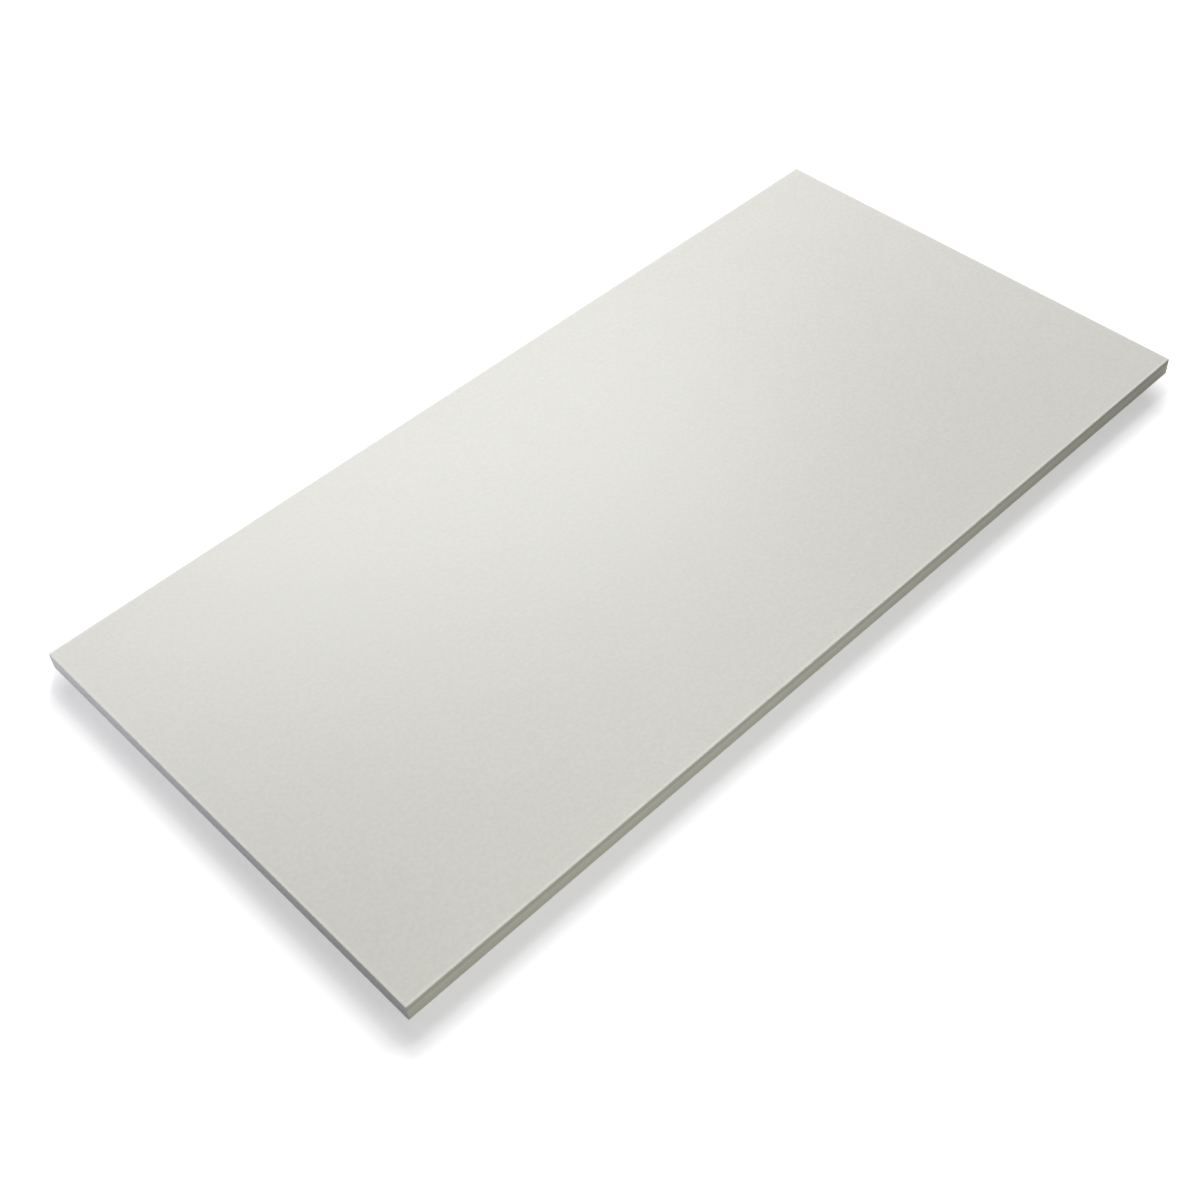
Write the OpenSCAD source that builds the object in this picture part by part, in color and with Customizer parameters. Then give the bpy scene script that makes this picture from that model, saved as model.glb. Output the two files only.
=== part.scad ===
// Fiber cement board, 1200 x 600 x 22 mm, pressed and sawn as one sheet.
// X runs along the length, Y across the width and Z up through the thickness.
// The origin is the centre of the underside, so the board lies flat on Z = 0.

/* [Sheet] */
// Length of the board, along X
board_length = 1200; // [600:1:3000]
// Width of the board, along Y
board_width = 600; // [300:1:1250]
// Thickness of the board, along Z
board_thickness = 22; // [6:0.5:40]

/* [Edges] */
// Width of the eased arris where the top and bottom faces meet the sawn sides
face_arris = 0.8; // [0.2:0.1:2.5]
// Width of the eased arris down each of the four upright corners
corner_arris = 1.2; // [0.2:0.1:2.5]

/* [Hidden] */

// Rectangle centred on the origin, each corner cut off at 45 degrees by `cut`.
module eased_rectangle(size_x, size_y, cut) {
    half_x = size_x / 2;
    half_y = size_y / 2;
    polygon([
        [half_x - cut, -half_y], [half_x, -half_y + cut],
        [half_x, half_y - cut], [half_x - cut, half_y],
        [-half_x + cut, half_y], [-half_x, half_y - cut],
        [-half_x, -half_y + cut], [-half_x + cut, -half_y]
    ]);
}

// Plan of the sheet, carried straight up through the thickness.
module plan_block() {
    linear_extrude(height = board_thickness)
        eased_rectangle(board_length, board_width, corner_arris);
}

// Section across the width, carried along the length.
module length_block() {
    translate([-board_length / 2, 0, board_thickness / 2])
        rotate([90, 0, 90])
            linear_extrude(height = board_length)
                eased_rectangle(board_width, board_thickness, face_arris);
}

// Section along the length, carried across the width.
module width_block() {
    translate([0, board_width / 2, board_thickness / 2])
        rotate([90, 0, 0])
            linear_extrude(height = board_width)
                eased_rectangle(board_length, board_thickness, face_arris);
}

// The board itself: what the plan and the two sections have in common.
module board() {
    color([0.84, 0.84, 0.82])
        intersection() {
            plan_block();
            length_block();
            width_block();
        }
}

board();
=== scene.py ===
"""Fiber cement board: one pressed sheet, eased along its edges, lying flat on a pale studio floor.

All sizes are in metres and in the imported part's frame: X along the board, Y across it, Z up,
with the origin at the centre of the underside.
"""

from __future__ import annotations

import logging
import math
from dataclasses import dataclass
from enum import Enum
from functools import reduce
from typing import Any, Callable, Union

import bmesh
import bpy
from mathutils import Matrix, Vector

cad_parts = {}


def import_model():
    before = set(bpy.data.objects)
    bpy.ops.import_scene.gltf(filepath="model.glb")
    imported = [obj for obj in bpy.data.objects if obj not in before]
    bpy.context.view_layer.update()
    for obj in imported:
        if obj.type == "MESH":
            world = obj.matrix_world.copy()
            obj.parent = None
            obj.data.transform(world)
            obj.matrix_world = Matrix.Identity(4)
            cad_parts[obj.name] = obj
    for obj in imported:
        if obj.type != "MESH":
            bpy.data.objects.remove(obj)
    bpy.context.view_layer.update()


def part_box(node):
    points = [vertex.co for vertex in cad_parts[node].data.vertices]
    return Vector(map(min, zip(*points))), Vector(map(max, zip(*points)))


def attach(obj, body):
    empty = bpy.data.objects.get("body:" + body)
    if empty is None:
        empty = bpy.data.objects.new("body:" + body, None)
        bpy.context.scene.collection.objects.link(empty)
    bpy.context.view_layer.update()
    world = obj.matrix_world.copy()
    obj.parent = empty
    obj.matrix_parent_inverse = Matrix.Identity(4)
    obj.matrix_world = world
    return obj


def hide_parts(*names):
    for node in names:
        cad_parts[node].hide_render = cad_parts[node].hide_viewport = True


LOG = logging.getLogger("fiber_cement_board")
CAD_NODE = "board"
CAD_BODY = "root"
MM = 0.001
TINY = 1e-6
RGBA = tuple[float, float, float, float]
Span = tuple[float, float]
EdgeTest = Callable[[Vector, Vector], bool]


class Facing(Enum):
    """The four finishes of the sheet, by the way that a surface looks, numbered as its slots."""

    FACE = 0
    LONG_EDGE = 1
    END = 2
    BACK = 3


@dataclass(frozen=True)
class Tone:
    """A linear colour."""

    red: float
    green: float
    blue: float

    def rgba(self, level: float = 1.0) -> RGBA:
        """The colour at a level, opaque."""
        return (self.red * level, self.green * level, self.blue * level, 1.0)

    def rgb(self) -> tuple[float, float, float]:
        """The colour as three numbers."""
        return (self.red, self.green, self.blue)


WHITE = Tone(1.0, 1.0, 1.0)


# --------------------------------------------------------------------------------------
# Shader maths
# --------------------------------------------------------------------------------------


class Wire:
    """A node's output that takes part in Python arithmetic."""

    def __init__(self, bench: "ShaderBench", socket: bpy.types.NodeSocket) -> None:
        """Wraps a socket of the bench's own tree."""
        self.bench = bench
        self.socket = socket

    @property
    def is_vector(self) -> bool:
        """True for a colour or a vector."""
        return self.socket.type in {"VECTOR", "RGBA"}

    def __add__(self, other: "Term") -> "Wire":
        """This plus other."""
        return self.bench.maths("ADD", self, other)

    def __radd__(self, other: "Term") -> "Wire":
        """Other plus this."""
        return self.bench.maths("ADD", other, self)

    def __sub__(self, other: "Term") -> "Wire":
        """This less other."""
        return self.bench.maths("SUBTRACT", self, other)

    def __rsub__(self, other: "Term") -> "Wire":
        """Other less this."""
        return self.bench.maths("SUBTRACT", other, self)

    def __mul__(self, other: "Term") -> "Wire":
        """This times other."""
        return self.bench.maths("MULTIPLY", self, other)

    def __rmul__(self, other: "Term") -> "Wire":
        """Other times this."""
        return self.bench.maths("MULTIPLY", other, self)

    def __abs__(self) -> "Wire":
        """This without its sign."""
        return self.bench.maths("ABSOLUTE", self)


Term = Union[Wire, float, int, tuple]


class ShaderBench:
    """Builds the nodes of one material or of the surroundings."""

    def __init__(self, tree: bpy.types.NodeTree) -> None:
        """Starts on an emptied node tree."""
        self.tree = tree
        self.tree.nodes.clear()

    def node(self, kind: str, settings: dict[str, Any], inputs: dict[Any, Term]) -> bpy.types.Node:
        """Adds one node.

        Args:
            kind: The node's type.
            settings: Its own settings, put in before its sockets.
            inputs: A value or a link for each socket, by name or number.

        Returns:
            The node.
        """
        made = self.tree.nodes.new(kind)
        for key, value in settings.items():
            setattr(made, key, value)
        for key, value in inputs.items():
            if isinstance(value, Wire):
                self.tree.links.new(value.socket, made.inputs[key])
            else:
                made.inputs[key].default_value = value
        return made

    def wire(
        self, kind: str, settings: dict[str, Any], inputs: dict[Any, Term], output: Any = 0
    ) -> Wire:
        """Adds one node and takes one of its outputs.

        Args:
            kind: The node's type.
            settings: Its own settings.
            inputs: A value or a link for each socket, by name or number.
            output: Which output is wanted, by name or number.

        Returns:
            The wanted output.
        """
        return Wire(self, self.node(kind, settings, inputs).outputs[output])

    def maths(self, operation: str, *terms: Term) -> Wire:
        """A Math node, or a Vector Math node where a colour or a vector takes part.

        Args:
            operation: What is worked out.
            terms: The values or links, in order.

        Returns:
            The result.
        """
        vector = any(isinstance(term, Wire) and term.is_vector for term in terms)
        kind = "ShaderNodeVectorMath" if vector else "ShaderNodeMath"
        if vector:
            terms = tuple((t, t, t) if isinstance(t, (int, float)) else t for t in terms)
        return self.wire(kind, {"operation": operation}, dict(enumerate(terms)))

    def least(self, first: Term, second: Term) -> Wire:
        """The smaller of two."""
        return self.maths("MINIMUM", first, second)

    def most(self, first: Term, second: Term) -> Wire:
        """The larger of two."""
        return self.maths("MAXIMUM", first, second)

    def place(self) -> Wire:
        """Where a point is on the board, in metres."""
        return self.wire("ShaderNodeTexCoord", {}, {}, "Object")

    def stretched(self, place: Wire, scale: tuple[float, float, float]) -> Wire:
        """The place with each axis scaled, for grain that runs one way."""
        return self.wire("ShaderNodeMapping", {}, {"Vector": place, "Scale": scale})

    def turned(self, place: Wire, degrees: float) -> Wire:
        """The place turned about the upright axis."""
        rotation = (0.0, 0.0, math.radians(degrees))
        return self.wire("ShaderNodeMapping", {}, {"Vector": place, "Rotation": rotation})

    def axes(self, place: Wire) -> tuple[Wire, Wire, Wire]:
        """X, Y and Z of a place."""
        split = self.node("ShaderNodeSeparateXYZ", {}, {"Vector": place})
        return tuple(Wire(self, socket) for socket in split.outputs)

    def noise(self, place: Wire, size: float, detail: float, rough: float) -> Wire:
        """Cloudy noise about 0.5.

        Args:
            place: Where the noise is read.
            size: Size of one lump, in metres.
            detail: How many finer layers it carries.
            rough: How strong those layers are.

        Returns:
            A value from 0 to 1.
        """
        inputs = {"Vector": place, "Scale": 1.0 / size, "Detail": detail, "Roughness": rough}
        return self.wire("ShaderNodeTexNoise", {"noise_dimensions": "3D"}, inputs)

    def cells(self, place: Wire, size: float) -> Wire:
        """Distance to the nearest of many scattered points, in cells of a size."""
        inputs = {"Vector": place, "Scale": 1.0 / size}
        return self.wire("ShaderNodeTexVoronoi", {"feature": "F1"}, inputs, "Distance")

    def ramp(self, value: Term, start: float, end: float) -> Wire:
        """A smooth step: 0 at start, 1 at end."""
        inputs = {"Value": value, "From Min": start, "From Max": end}
        return self.wire("ShaderNodeMapRange", {"interpolation_type": "SMOOTHSTEP"}, inputs)

    def fade(self, value: Term, start: float, end: float) -> Wire:
        """A smooth step down: 1 at start, 0 at end."""
        return 1.0 - self.ramp(value, start, end)

    def blend(self, share: Term, low: Term, high: Term) -> Wire:
        """One colour turning into another as share goes from 0 to 1."""
        return self.wire("ShaderNodeMix", {"data_type": "RGBA"}, {0: share, 6: low, 7: high}, 2)

    def bump(self, height: Wire, depth: float) -> Wire:
        """A normal from a relief in which a height of 1 stands depth metres deep."""
        return self.wire("ShaderNodeBump", {}, {"Height": height, "Distance": depth})

    def seen(self) -> Wire:
        """Tells a look at the surface from the light that it throws on.

        Returns:
            1 where the camera, a reflection or glass sees the surface itself, else 0.
        """
        path = self.node("ShaderNodeLightPath", {}, {})
        looks = [Wire(self, path.outputs[f"Is {ray} Ray"]) for ray in ("Camera", "Glossy", "Transmission")]
        return reduce(self.most, looks)

    def mix_shaders(self, share: Term, first: Wire, second: Wire) -> Wire:
        """One shader turning into another as share goes from 0 to 1."""
        return self.wire("ShaderNodeMixShader", {}, {0: share, 1: first, 2: second})

    def output(self, surface: Wire, kind: str = "ShaderNodeOutputMaterial") -> None:
        """Links the finished surface to an output node."""
        self.node(kind, {}, {"Surface": surface})

    def cement(self, colour: Wire, roughness: Wire, normal: Wire, level: float) -> Wire:
        """The dull, faintly glossy cement shader.

        Args:
            colour: Its colour.
            roughness: Its roughness.
            normal: Its relief.
            level: How strongly it reflects, 0.5 being plain.

        Returns:
            The shader.
        """
        inputs = {
            "Base Color": colour,
            "Roughness": roughness,
            "Normal": normal,
            "Specular IOR Level": level,
        }
        return self.wire("ShaderNodeBsdfPrincipled", {}, inputs)


def new_material(name: str) -> tuple[bpy.types.Material, ShaderBench]:
    """A node material and the bench that it is built on.

    Args:
        name: What the material is called.

    Returns:
        The material and its bench.
    """
    stuff = bpy.data.materials.new(name)
    stuff.use_nodes = True
    return stuff, ShaderBench(stuff.node_tree)


# --------------------------------------------------------------------------------------
# Finishes
# --------------------------------------------------------------------------------------


@dataclass(frozen=True)
class Layer:
    """One cloudy layer of a finish: its coarseness, its share of the shade and of the relief."""

    size: float
    shade: float
    height: float = 0.0
    detail: float = 2.0
    rough: float = 0.5

    def read(self, bench: ShaderBench, place: Wire) -> Wire:
        """The layer's value at a place, from 0 to 1."""
        return bench.noise(place, self.size, self.detail, self.rough)

    def shading(self, value: Wire) -> Wire:
        """How much a value of the layer lightens or darkens the surface."""
        return (value - 0.5) * self.shade


@dataclass(frozen=True)
class SandedFace:
    """The finished face: pale off-white cement with a paper-like grain and a painted highlight along its
    border.

    The painted highlight is stronger along the long sides than at the ends and also lightens the arris,
    fading out between the two arris_reach values, in arris widths.
    """

    name: str = "sanded_face"
    pale: Tone = Tone(0.694, 0.689, 0.640)
    deep: Tone = Tone(0.680, 0.675, 0.624)
    grain: Layer = Layer(4.6 * MM, shade=0.125, height=0.55, detail=1.0, rough=0.4)
    tooth: Layer = Layer(1.8 * MM, shade=0.040, height=0.35, detail=1.0)
    drift: Layer = Layer(60.0 * MM, shade=0.012)
    fibre_length: float = 5.0 * MM
    fibre_width: float = 0.5 * MM
    fibre_turns: tuple[float, ...] = (12.0, 71.0, -48.0)
    fibre_detail: float = 1.0
    fibre_rough: float = 0.5
    fibre_cut: Span = (0.62, 0.78)
    fibre_shade: float = 0.034
    fibre_height: float = 0.10
    # Painted highlight: a lighter band along the face's border, stronger along the long sides than at the
    # ends, with a lighter arris.
    highlight_reach: Span = (2.5 * MM, 4.4 * MM)
    side_highlight: float = 0.125
    end_highlight: float = 0.090
    highlight_dulling: float = 0.5
    arris_reach: Span = (0.8, 1.6)
    arris_gain: float = 0.08
    relief: float = 0.045 * MM
    roughness: float = 0.385
    roughness_swing: float = 0.06
    gloss: float = 0.56

    def _fibres(self, bench: ShaderBench, place: Wire, turn: float) -> Wire:
        """Short fibres that lie one way.

        Args:
            bench: Where the nodes go.
            place: Where the pattern is read.
            turn: Degrees round from the board's length.

        Returns:
            1 on a fibre and 0 beside it.
        """
        squeeze = self.fibre_width / self.fibre_length
        lie = bench.stretched(bench.turned(place, turn), (squeeze, 1.0, 1.0))
        laid = bench.noise(lie, self.fibre_width, self.fibre_detail, self.fibre_rough)
        return bench.ramp(laid, *self.fibre_cut)

    def material(self, half: Vector, arris: float) -> bpy.types.Material:
        """Builds the finish.

        Args:
            half: Half of the sheet's length and width.
            arris: Width of the eased arris.

        Returns:
            The material.
        """
        stuff, bench = new_material(self.name)
        place = bench.place()
        x, y, _ = bench.axes(place)
        grain = self.grain.read(bench, place)
        tooth = self.tooth.read(bench, place)
        drift = self.drift.read(bench, place)
        fibres = reduce(bench.most, [self._fibres(bench, place, turn) for turn in self.fibre_turns])
        from_side = half.y - abs(y)
        from_end = half.x - abs(x)
        side = bench.fade(from_side, *self.highlight_reach)
        end = bench.fade(from_end, *self.highlight_reach)
        eased = bench.fade(bench.least(from_side, from_end), *(arris * reach for reach in self.arris_reach))
        # Painted highlight along the border and on the arris, stronger along the long sides.
        painted_highlight = bench.most(side * self.side_highlight, end * self.end_highlight) + eased * self.arris_gain
        level = (
            1.0
            + self.grain.shading(grain)
            + self.tooth.shading(tooth)
            + self.drift.shading(drift)
            + fibres * self.fibre_shade
            + painted_highlight
        )
        colour = bench.blend(drift, self.deep.rgba(), self.pale.rgba()) * level
        height = grain * self.grain.height + tooth * self.tooth.height + fibres * self.fibre_height
        roughness = self.roughness + (grain - 0.5) * self.roughness_swing + painted_highlight * self.highlight_dulling
        bench.output(bench.cement(colour, roughness, bench.bump(height, self.relief), self.gloss))
        return stuff


@dataclass(frozen=True)
class SawnEdge:
    """A cut side: pressed plies in fine lines, small pits, and a darker band just under the face.

    The arris is made paler, partly as wear and partly as a painted highlight, fading out between the two
    arris_reach values, in arris widths.
    """

    name: str
    dark_band_depth: float
    dark_band_shade: float
    tone: Tone
    tone_swing: float = 0.01
    dark_band_waver: float = 1.2 * MM
    dark_band_soft: float = 1.3 * MM
    plies: Layer = Layer(0.6 * MM, shade=0.17, height=0.3, rough=0.6)
    ply_run: float = 30.0 * MM
    saw: Layer = Layer(1.1 * MM, shade=0.05, height=0.2)
    saw_run: float = 16.0 * MM
    lumps: Layer = Layer(2.4 * MM, shade=0.07, height=0.3, detail=3.0, rough=0.55)
    drift: Layer = Layer(40.0 * MM, shade=0.05)
    pit_size: float = 4.2 * MM
    pit_ragged: float = 0.3
    pit_cut: Span = (0.04, 0.14)
    pit_shade: float = 0.25
    pit_height: float = 0.6
    arris_reach: Span = (0.3, 1.3)
    arris_gain: float = 0.08
    arris_polish: float = 0.04
    relief: float = 0.14 * MM
    roughness: float = 0.74
    roughness_swing: float = 0.08
    gloss: float = 0.35

    def material(self, low: float, high: float, arris: float) -> bpy.types.Material:
        """Builds the finish.

        Args:
            low: Height of the underside.
            high: Height of the finished face.
            arris: Width of the eased arris.

        Returns:
            The material.
        """
        stuff, bench = new_material(self.name)
        place = bench.place()
        _, _, z = bench.axes(place)
        flat = self.plies.size / self.ply_run
        plies = self.plies.read(bench, bench.stretched(place, (flat, flat, 1.0)))
        saw = self.saw.read(bench, bench.stretched(place, (1.0, 1.0, self.saw.size / self.saw_run)))
        lumps = self.lumps.read(bench, place)
        drift = self.drift.read(bench, place)
        pits = bench.fade(bench.cells(place, self.pit_size) + (lumps - 0.5) * self.pit_ragged, *self.pit_cut)
        # A darker band just under the face, whose lower edge wavers a little.
        under = high - z + (lumps - 0.5) * self.dark_band_waver
        dark_band = bench.fade(under, self.dark_band_depth - self.dark_band_soft, self.dark_band_depth + self.dark_band_soft)
        rim = bench.least(high - z, z - low)
        # Paler arris: partly wear, partly a painted highlight.
        wear_and_highlight = bench.fade(rim, *(arris * reach for reach in self.arris_reach))
        level = (
            1.0
            + self.plies.shading(plies)
            + self.saw.shading(saw)
            + self.lumps.shading(lumps)
            + self.drift.shading(drift)
            - pits * self.pit_shade
            - dark_band * (1.0 - wear_and_highlight) * self.dark_band_shade
            + wear_and_highlight * self.arris_gain
        )
        darker, lighter = self.tone.rgba(1.0 - self.tone_swing), self.tone.rgba(1.0 + self.tone_swing)
        colour = bench.blend(drift, darker, lighter) * level
        height = (
            plies * self.plies.height
            + saw * self.saw.height
            + lumps * self.lumps.height
            - pits * self.pit_height
        )
        roughness = self.roughness + (lumps - 0.5) * self.roughness_swing - wear_and_highlight * self.arris_polish
        bench.output(bench.cement(colour, roughness, bench.bump(height, self.relief), self.gloss))
        return stuff


@dataclass(frozen=True)
class PressedBack:
    """The unsanded underside: duller, with the faint print of the felt that it was pressed on."""

    name: str = "pressed_back"
    tone: Tone = Tone(0.560, 0.552, 0.505)
    tone_swing: float = 0.02
    felt_pitch: float = 1.6 * MM
    felt_warp: float = 2.2
    felt_shade: float = 0.03
    felt_height: float = 0.5
    lumps: Layer = Layer(3.0 * MM, shade=0.06, height=0.5, detail=3.0, rough=0.55)
    cloud: Layer = Layer(90.0 * MM, shade=0.10, detail=3.0, rough=0.55)
    relief: float = 0.10 * MM
    roughness: float = 0.80
    roughness_swing: float = 0.06
    gloss: float = 0.30

    def material(self) -> bpy.types.Material:
        """Builds the finish.

        Returns:
            The material.
        """
        stuff, bench = new_material(self.name)
        place = bench.place()
        x, y, _ = bench.axes(place)
        lumps = self.lumps.read(bench, place)
        cloud = self.cloud.read(bench, place)
        turn = 2.0 * math.pi / self.felt_pitch
        warp = (lumps - 0.5) * self.felt_warp
        felt = bench.maths("SINE", x * turn + warp) * bench.maths("SINE", y * turn + warp) * 0.5 + 0.5
        level = (
            1.0
            + (felt - 0.5) * self.felt_shade
            + self.lumps.shading(lumps)
            + self.cloud.shading(cloud)
        )
        darker, lighter = self.tone.rgba(1.0 - self.tone_swing), self.tone.rgba(1.0 + self.tone_swing)
        colour = bench.blend(cloud, darker, lighter) * level
        height = felt * self.felt_height + lumps * self.lumps.height
        roughness = self.roughness + (cloud - 0.5) * self.roughness_swing
        bench.output(bench.cement(colour, roughness, bench.bump(height, self.relief), self.gloss))
        return stuff


@dataclass(frozen=True)
class PaleFloor:
    """The studio floor: plain and pale, white to the camera, darker only in the board's shadow.

    Where it is looked at, the lit floor gets a share of plain white on top: lift beside the board,
    growing to all of it from white_from to white_to away. That distance is measured from the board's
    outline, drawn in by right_fade at the right end and by rear_fade along the rear edge, so that the
    shadow dies away before it reaches the two far corners. All other light meets the bounce colour.
    """

    name: str = "pale_floor"
    bounce: Tone = Tone(0.60, 0.60, 0.60)
    shown: Tone = Tone(0.500, 0.500, 0.510)
    lift: float = 0.448
    white_from: float = 12.0 * MM
    white_to: float = 76.0 * MM
    right_fade: float = 73.0 * MM
    rear_fade: float = 54.0 * MM

    def material(self, half: Vector) -> bpy.types.Material:
        """Builds the finish.

        Args:
            half: Half of the board's length and width.

        Returns:
            The material.
        """
        stuff, bench = new_material(self.name)
        x, y, _ = bench.axes(bench.place())
        # Painted shadow: the glow, not the lamps, sets where the shadow fades to white and takes it away
        # before the two far corners; the slightly blue shown colour tints the shadow.
        out_x = bench.most(abs(x + self.right_fade / 2) - (half.x - self.right_fade / 2), 0.0)
        out_y = bench.most(abs(y + self.rear_fade / 2) - (half.y - self.rear_fade / 2), 0.0)
        beside = bench.maths("SQRT", out_x * out_x + out_y * out_y)
        seen = bench.seen()
        share = seen * (self.lift + bench.ramp(beside, self.white_from, self.white_to) * (1.0 - self.lift))
        colour = bench.blend(seen, self.bounce.rgba(), self.shown.rgba())
        lit = bench.wire("ShaderNodeBsdfDiffuse", {}, {"Color": colour})
        glow = bench.wire("ShaderNodeEmission", {}, {"Color": WHITE.rgba(), "Strength": 1.0})
        # The first shader socket stays empty, so that only the share of white is added.
        glow = bench.wire("ShaderNodeMixShader", {}, {0: share, 2: glow})
        surface = bench.wire("ShaderNodeAddShader", {}, {0: lit, 1: glow})
        below = bench.wire("ShaderNodeNewGeometry", {}, {}, "Backfacing")
        clear = bench.wire("ShaderNodeBsdfTransparent", {}, {})
        bench.output(bench.mix_shaders(below, surface, clear))
        return stuff


# --------------------------------------------------------------------------------------
# Modelling
# --------------------------------------------------------------------------------------


class Workpiece:
    """A mesh being modelled in edit mode."""

    def __init__(self, name: str, low: Vector, high: Vector) -> None:
        """Adds a block that fills a box and opens it for editing.

        Args:
            name: The piece's name.
            low: The box's lowest corner.
            high: The box's highest corner.
        """
        bpy.ops.object.select_all(action="DESELECT")
        bpy.ops.mesh.primitive_cube_add(size=1.0, location=(low + high) / 2, scale=tuple(high - low))
        self.piece = bpy.context.active_object
        self.piece.name = name
        self.piece.data.name = name
        bpy.ops.object.transform_apply(location=True, rotation=True, scale=True)
        bpy.ops.object.mode_set(mode="EDIT")
        bpy.ops.mesh.select_mode(type="EDGE")

    def pick_edges(self, wanted: EdgeTest) -> int:
        """Selects the edges that a test of their two ends accepts.

        Args:
            wanted: The test.

        Returns:
            How many edges are selected.
        """
        bpy.ops.mesh.select_all(action="DESELECT")
        shape = bmesh.from_edit_mesh(self.piece.data)
        count = 0
        for edge in shape.edges:
            if wanted(edge.verts[0].co, edge.verts[1].co):
                edge.select = True
                count += 1
        bmesh.update_edit_mesh(self.piece.data)
        return count

    def divide(self, parts: int, wanted: EdgeTest) -> None:
        """Cuts the picked edges, and the faces between them, into equal parts."""
        if self.pick_edges(wanted):
            bpy.ops.mesh.subdivide(number_cuts=parts - 1)

    def slice(self, point: Vector, normal: Vector) -> None:
        """Scores the whole mesh along a plane."""
        bpy.ops.mesh.select_all(action="SELECT")
        bpy.ops.mesh.bisect(plane_co=point, plane_no=normal)

    def ease(self, width: float, segments: int, wanted: EdgeTest) -> None:
        """Eases the picked edges with a small round."""
        self.pick_edges(wanted)
        bpy.ops.mesh.bevel(
            offset=width, offset_type="OFFSET", segments=segments, profile=0.5, affect="EDGES"
        )

    def number(self, spot: Vector) -> None:
        """Numbers the points, edges and faces by how far they lie from a spot, the same in every run.

        Two that lie equally far keep the order that they had, so two spots in turn settle every tie.

        Args:
            spot: A place off the piece, in line with none of its edges.
        """
        cursor = bpy.context.scene.cursor
        kept = cursor.location.copy()
        cursor.location = spot
        bpy.ops.mesh.select_all(action="SELECT")
        bpy.ops.mesh.sort_elements(type="CURSOR_DISTANCE", elements={"VERT", "EDGE", "FACE"})
        cursor.location = kept

    def close(self) -> bpy.types.Object:
        """Leaves edit mode with the faces looking outwards.

        Returns:
            The finished piece.
        """
        bpy.ops.mesh.select_all(action="SELECT")
        bpy.ops.mesh.normals_make_consistent(inside=False)
        bpy.ops.mesh.select_all(action="DESELECT")
        bpy.ops.object.mode_set(mode="OBJECT")
        return self.piece


@dataclass(frozen=True)
class Wear:
    """A cloudy relief pressed into some of a piece's points, inwards only."""

    group: str
    size: float
    depth: float
    contrast: float = 1.0
    brightness: float = 1.0
    layers: int = 2

    def carve(self, piece: bpy.types.Object) -> None:
        """Presses the relief into the points of the vertex group of the same name.

        Args:
            piece: The piece, which is the active object.
        """
        texture = bpy.data.textures.new(self.group, "CLOUDS")
        texture.noise_scale = self.size
        texture.noise_depth = self.layers
        texture.contrast = self.contrast
        texture.intensity = self.brightness
        texture.use_clamp = True
        carve = piece.modifiers.new(self.group, "DISPLACE")
        carve.texture = texture
        carve.texture_coords = "LOCAL"
        carve.vertex_group = self.group
        carve.direction = "NORMAL"
        carve.mid_level = 0.0
        carve.strength = -self.depth
        bpy.ops.object.modifier_apply(modifier=carve.name)


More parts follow.
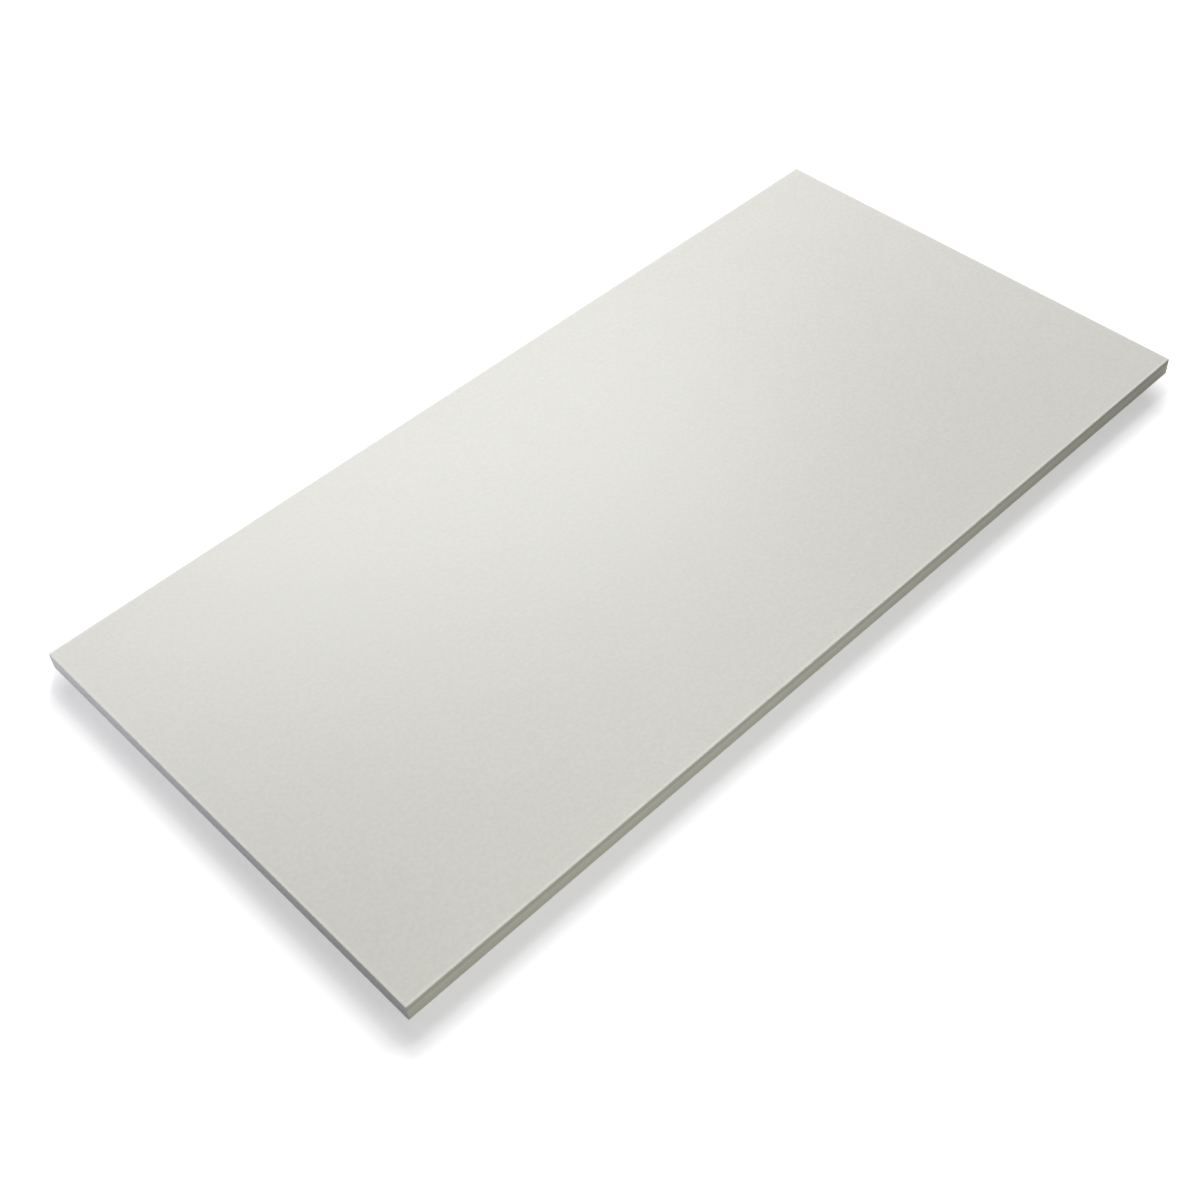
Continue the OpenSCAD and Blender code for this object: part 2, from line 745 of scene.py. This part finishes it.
@dataclass
class BoardSheet:
    """The board itself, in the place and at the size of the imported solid.

    The two faces get narrow rows along their borders, whose inner edges border_rows gives. Inside
    the outer row, edges longer than step_length are cut into step parts, and inside the middle row
    once more. The mesh is numbered from the count_from spots. Wear reaches wear_reach arris widths
    from the outline. A surface that looks up by more than face_tilt takes the face's finish, and
    one that looks up by less than back_tilt takes the back's.
    """

    low: Vector
    high: Vector
    name: str = "fiber_cement_board"
    face_arris: float = 0.8 * MM
    corner_arris: float = 1.2 * MM
    arris_rounds: int = 3
    corner_rounds: int = 4
    border_rows: tuple[float, float, float] = (1.6 * MM, 3.4 * MM, 10.0 * MM)
    cells_along: int = 25
    cells_across: int = 12
    edge_rows: int = 6
    step: int = 5
    step_length: float = 15.0 * MM
    count_from: tuple[tuple[float, float, float], ...] = ((-0.9, 1.6, 0.5), (1.7, 0.9, 0.6))
    wear_reach: float = 1.25
    nicks: Wear = Wear("arris", size=9.0 * MM, depth=0.22 * MM, contrast=2.6, brightness=0.42)
    ripple: Wear = Wear("sides", size=7.0 * MM, depth=0.06 * MM)
    face_tilt: float = 0.5
    back_tilt: float = -0.985
    smooth_angle: float = 35.0
    face_finish: SandedFace = SandedFace()
    # Long edge and end are the same cement: part of the long edge's lighter, yellower tone and of the end's
    # darker, bluer tone is painted shade and tint, standing for how the lamps fall on each side.
    long_finish: SawnEdge = SawnEdge(
        "trimmed_long_edge",
        dark_band_depth=7.0 * MM,
        dark_band_shade=0.19,
        tone=Tone(0.646, 0.643, 0.559),
    )
    end_finish: SawnEdge = SawnEdge(
        "sawn_end",
        dark_band_depth=2.0 * MM,
        dark_band_shade=0.0,
        tone=Tone(0.566, 0.563, 0.568),
    )
    back_finish: PressedBack = PressedBack()

    @property
    def centre(self) -> Vector:
        """Middle of the sheet."""
        return (self.low + self.high) / 2

    @property
    def half(self) -> Vector:
        """Half of the sheet's size, each way."""
        return (self.high - self.low) / 2

    def build(self) -> bpy.types.Object:
        """Models the sheet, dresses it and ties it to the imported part.

        Returns:
            The finished piece.
        """
        work = Workpiece(self.name, self.low, self.high)
        self._grid(work)
        self._arrises(work)
        self._refine(work)
        for spot in self.count_from:
            work.number(self.centre + Vector(spot))
        piece = work.close()
        self._wear(piece)
        self._dress(piece)
        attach(piece, CAD_BODY)
        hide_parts(CAD_NODE)
        return piece

    def _margins(self, point: Vector) -> Span:
        """How far a point lies inside the ends and inside the long edges."""
        away = point - self.centre
        return (self.half.x - abs(away.x), self.half.y - abs(away.y))

    def _inset(self, point: Vector) -> float:
        """How far a point lies inside the sheet's outline, seen from above."""
        return min(self._margins(point))

    def _on_face(self, point: Vector) -> bool:
        """True on the finished face or on the underside."""
        return min(abs(point.z - self.low.z), abs(point.z - self.high.z)) < TINY

    @staticmethod
    def _upright(first: Vector, second: Vector) -> bool:
        """True for an edge that stands straight up."""
        return abs(first.z - second.z) > TINY and (first.xy - second.xy).length < TINY

    def _corner(self, first: Vector, second: Vector) -> bool:
        """True for one of the block's four upright corners."""
        return self._upright(first, second) and max(map(abs, self._margins(first))) < TINY

    def _side(self, first: Vector, second: Vector) -> bool:
        """True for an edge that spans the sides from one arris to the other."""
        return self._upright(first, second) and abs(first.z - second.z) > self.half.z

    def _outline(self, first: Vector, second: Vector) -> bool:
        """Picks out the upper and the lower outline, the rounded corners among them.

        Args:
            first: One end of an edge.
            second: Its other end.

        Returns:
            True for an edge of either outline.
        """
        middle = (first + second) / 2
        outer = self._inset(middle) < TINY or sum(self._margins(middle)) < self.corner_arris - TINY
        return outer and abs(first.z - second.z) < TINY and self._on_face(first)

    def _grid(self, work: Workpiece) -> None:
        """Divides the two faces into coarse cells, with narrow rows along their borders.

        Args:
            work: The block.
        """
        work.divide(self.cells_along, lambda a, b: abs(a.x - b.x) > TINY)
        work.divide(self.cells_across, lambda a, b: abs(a.y - b.y) > TINY)
        for row in self.border_rows:
            for axis, way in ((0, Vector((1, 0, 0))), (1, Vector((0, 1, 0)))):
                for side in (-1, 1):
                    work.slice(self.centre + way * side * (self.half[axis] - row), way)

    def _arrises(self, work: Workpiece) -> None:
        """Eases the upright corners and both outlines, and divides the sides into rows.

        Args:
            work: The block, with its grid.
        """
        work.ease(self.corner_arris, self.corner_rounds, self._corner)
        work.ease(self.face_arris, self.arris_rounds, self._outline)
        work.divide(self.edge_rows, self._side)

    def _refine(self, work: Workpiece) -> None:
        """Steps the mesh down towards the outline, in two goes.

        Args:
            work: The eased sheet.
        """
        _, inner, outer = self.border_rows
        for reach, longer in ((outer, self.step_length), (inner, self.step_length / self.step)):
            for axis in (0, 1):
                work.divide(
                    self.step,
                    lambda a, b: abs(a[axis] - b[axis]) > longer
                    and max(self._inset(a), self._inset(b)) < reach + TINY,
                )

    def _wear(self, piece: bpy.types.Object) -> None:
        """Takes tiny nicks out of the arrises and a slight ripple out of the sides.

        Args:
            piece: The sheet.
        """
        arris = piece.vertex_groups.new(name=self.nicks.group)
        sides = piece.vertex_groups.new(name=self.ripple.group)
        reach = self.face_arris * self.wear_reach
        for vert in piece.data.vertices:
            inside = self._inset(vert.co)
            depth = min(vert.co.z - self.low.z, self.high.z - vert.co.z)
            if inside < reach and depth < reach:
                arris.add([vert.index], 1.0, "REPLACE")
            elif inside < self.face_arris and depth > reach:
                sides.add([vert.index], 1.0, "REPLACE")
        self.nicks.carve(piece)
        self.ripple.carve(piece)

    def _dress(self, piece: bpy.types.Object) -> None:
        """Gives each surface its finish by the way that it looks, and smooths the shading.

        Args:
            piece: The sheet.
        """
        low, high, arris = self.low.z, self.high.z, self.face_arris
        stuffs = {
            Facing.FACE: self.face_finish.material(self.half, arris),
            Facing.LONG_EDGE: self.long_finish.material(low, high, arris),
            Facing.END: self.end_finish.material(low, high, arris),
            Facing.BACK: self.back_finish.material(),
        }
        for facing in Facing:
            piece.data.materials.append(stuffs[facing])
        for polygon in piece.data.polygons:
            polygon.material_index = self._facing(polygon.normal).value
        bpy.ops.object.select_all(action="DESELECT")
        piece.select_set(True)
        bpy.context.view_layer.objects.active = piece
        bpy.ops.object.shade_smooth_by_angle(angle=math.radians(self.smooth_angle))

    def _facing(self, normal: Vector) -> Facing:
        """Which finish a surface takes: the upper part of the arris goes with the face.

        Args:
            normal: The way that the surface looks.

        Returns:
            The finish.
        """
        if normal.z > self.face_tilt:
            return Facing.FACE
        if normal.z < self.back_tilt:
            return Facing.BACK
        return Facing.END if abs(normal.x) > abs(normal.y) else Facing.LONG_EDGE


# --------------------------------------------------------------------------------------
# Studio
# --------------------------------------------------------------------------------------


def bearing(azimuth: float, elevation: float) -> Vector:
    """The way to something seen from the board.

    Args:
        azimuth: Degrees round from -Y towards +X.
        elevation: Degrees above the floor.

    Returns:
        A unit vector.
    """
    a, e = math.radians(azimuth), math.radians(elevation)
    return Vector((math.sin(a) * math.cos(e), -math.cos(a) * math.cos(e), math.sin(e)))


def aimed(aim: Vector, back: Vector, distance: float, roll: float = 0.0) -> Matrix:
    """The stand of something that looks at a point.

    Args:
        aim: The point.
        back: Unit vector from the point towards it.
        distance: How far away it stands.
        roll: Degrees that its top leans to its own right.

    Returns:
        Its place and turn, as a matrix.
    """
    right = Vector((0.0, 0.0, 1.0)).cross(back).normalized()
    top = back.cross(right)
    lean = math.radians(roll)
    up = top * math.cos(lean) + right * math.sin(lean)
    axes = Matrix((up.cross(back), up, back)).transposed()
    return Matrix.Translation(aim + back * distance) @ axes.to_4x4()


@dataclass
class Camera:
    """The camera, looking down on the board across its near left corner."""

    centre: Vector
    aim_along: float = -0.0621
    aim_across: float = -0.0319
    azimuth: float = -41.848
    elevation: float = 46.335
    distance: float = 1.9452
    roll: float = 3.768
    lens: float = 52.455
    sensor: float = 36.0
    shift: Span = (-0.02, -0.05)
    clip: Span = (0.05, 60.0)

    def build(self) -> bpy.types.Object:
        """Adds the camera and makes it the scene's.

        Returns:
            The camera.
        """
        data = bpy.data.cameras.new("camera")
        data.lens = self.lens
        data.sensor_width = self.sensor
        data.shift_x, data.shift_y = self.shift
        data.clip_start, data.clip_end = self.clip
        camera = bpy.data.objects.new("camera", data)
        bpy.context.scene.collection.objects.link(camera)
        aim = self.centre + Vector((self.aim_along, self.aim_across, 0.0))
        camera.matrix_world = aimed(aim, bearing(self.azimuth, self.elevation), self.distance, self.roll)
        bpy.context.scene.camera = camera
        return camera


@dataclass(frozen=True)
class SoftBox:
    """A large diffused lamp that faces the board."""

    name: str
    azimuth: float
    elevation: float
    distance: float
    wide: float
    tall: float
    power: float
    tone: Tone = WHITE
    shines: bool = False

    def build(self, aim: Vector) -> bpy.types.Object:
        """Adds the lamp.

        Args:
            aim: The point that it faces.

        Returns:
            The lamp.
        """
        data = bpy.data.lights.new(self.name, "AREA")
        data.shape = "RECTANGLE"
        data.size, data.size_y = self.wide, self.tall
        data.energy = self.power
        data.color = self.tone.rgb()
        lamp = bpy.data.objects.new(self.name, data)
        lamp.visible_glossy = self.shines
        bpy.context.scene.collection.objects.link(lamp)
        lamp.matrix_world = aimed(aim, bearing(self.azimuth, self.elevation), self.distance)
        return lamp


@dataclass
class Studio:
    """Floor, surroundings and lamps."""

    centre: Vector
    half: Vector
    floor_drop: float = 0.1 * MM
    floor_size: float = 60.0
    floor_finish: PaleFloor = PaleFloor()
    fill: Tone = Tone(0.082, 0.082, 0.082)
    lamps: tuple[SoftBox, ...] = (
        SoftBox(
            "key_beyond",
            azimuth=151.3,
            elevation=43.4,
            distance=4.35,
            wide=2.57,
            tall=0.40,
            power=81.70,
            shines=True,
        ),
        SoftBox(
            "side_key",
            azimuth=150.0,
            elevation=28.0,
            distance=4.80,
            wide=0.37,
            tall=1.25,
            power=133.20,
        ),
        SoftBox(
            "left_soft",
            azimuth=-110.3,
            elevation=9.7,
            distance=1.21,
            wide=0.35,
            tall=0.42,
            power=1.97,
            tone=Tone(0.952, 0.940, 1.000),
        ),
        SoftBox(
            "front_soft",
            azimuth=-14.3,
            elevation=20.0,
            distance=0.92,
            wide=1.32,
            tall=0.31,
            power=2.25,
            tone=Tone(1.000, 1.000, 0.952),
        ),
        SoftBox(
            "right_soft",
            azimuth=108.0,
            elevation=29.9,
            distance=4.72,
            wide=2.34,
            tall=1.88,
            power=42.80,
        ),
    )

    def build(self) -> list[bpy.types.Object]:
        """Builds the floor, the surroundings and the lamps.

        Returns:
            The floor and the lamps.
        """
        bpy.context.scene.view_settings.view_transform = "Standard"
        self._surroundings()
        return [self._floor(), *(lamp.build(self.centre) for lamp in self.lamps)]

    def _floor(self) -> bpy.types.Object:
        """Lays the floor just under the board.

        Returns:
            The floor.
        """
        bpy.ops.object.select_all(action="DESELECT")
        bpy.ops.mesh.primitive_plane_add(size=self.floor_size, location=(0.0, 0.0, -self.floor_drop))
        floor = bpy.context.active_object
        floor.name = "studio_floor"
        bpy.ops.object.transform_apply(location=True, rotation=True, scale=True)
        floor.data.materials.append(self.floor_finish.material(self.half))
        return floor

    def _surroundings(self) -> None:
        """White where they are seen, a plain soft fill for everything else."""
        world = bpy.data.worlds.new("surroundings")
        bpy.context.scene.world = world
        world.use_nodes = True
        bench = ShaderBench(world.node_tree)
        fill, white = (
            bench.wire("ShaderNodeBackground", {}, {"Color": tone.rgba(), "Strength": 1.0})
            for tone in (self.fill, WHITE)
        )
        bench.output(bench.mix_shaders(bench.seen(), fill, white), "ShaderNodeOutputWorld")


def main() -> None:
    """Builds the board and its studio, in order."""
    logging.basicConfig(level=logging.INFO, format="%(name)s: %(message)s")
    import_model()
    low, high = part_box(CAD_NODE)
    board = BoardSheet(low, high).build()
    LOG.info("%s: %d faces", board.name, len(board.data.polygons))
    centre = Vector(((low.x + high.x) / 2, (low.y + high.y) / 2, high.z))
    camera = Camera(centre).build()
    LOG.info("%s: lens %.1f mm", camera.name, camera.data.lens)
    for item in Studio(centre, (high - low) / 2).build():
        LOG.info("%s: ready", item.name)


if __name__ == "__main__":
    main()
